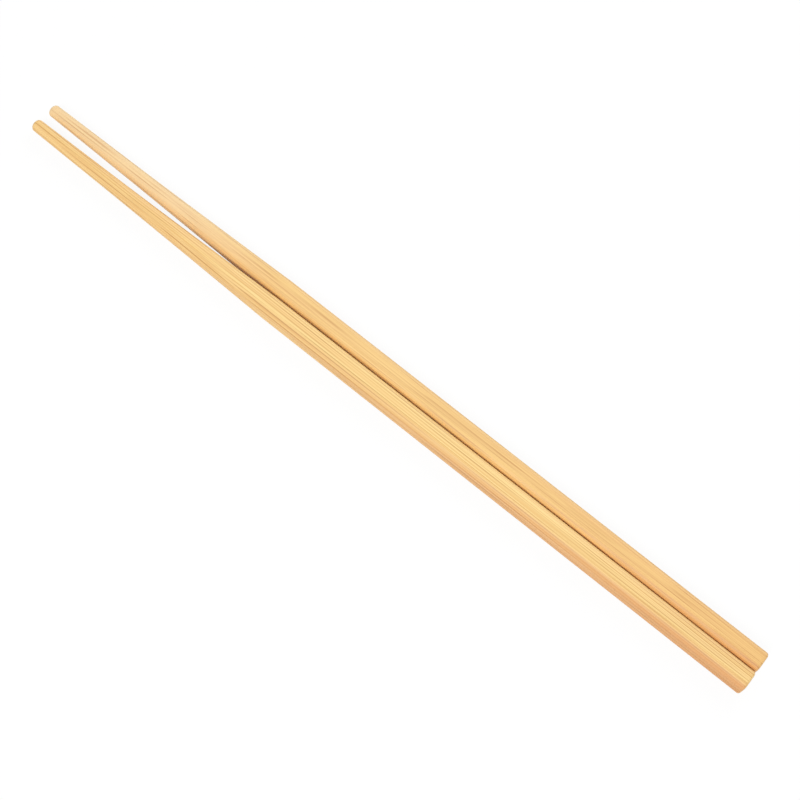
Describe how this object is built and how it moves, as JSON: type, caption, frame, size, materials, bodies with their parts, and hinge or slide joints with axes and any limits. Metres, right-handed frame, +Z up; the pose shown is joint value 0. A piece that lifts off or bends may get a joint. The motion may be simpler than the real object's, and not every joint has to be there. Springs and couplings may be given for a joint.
{
  "type": "pair of bamboo chopsticks",
  "caption": "Slim bamboo chopsticks lying side by side, rounded-square at the butt and tapering to a round blunt tip, for picking up food.",
  "frame": {"origin": "centre of the pair's footprint, on the surface that the sticks lie on", "axes": "+X along the sticks from the tips to the butts, +Y across the pair from the front stick to the back one, +Z up"},
  "size_m": [0.24, 0.0124, 0.0061],
  "materials": {
    "bamboo": "bare split bamboo, planed and sanded smooth, satin"
  },
  "bodies": {
    "root": {"front_chopstick": "bamboo", "back_chopstick": "bamboo"}
  },
  "joints": []
}
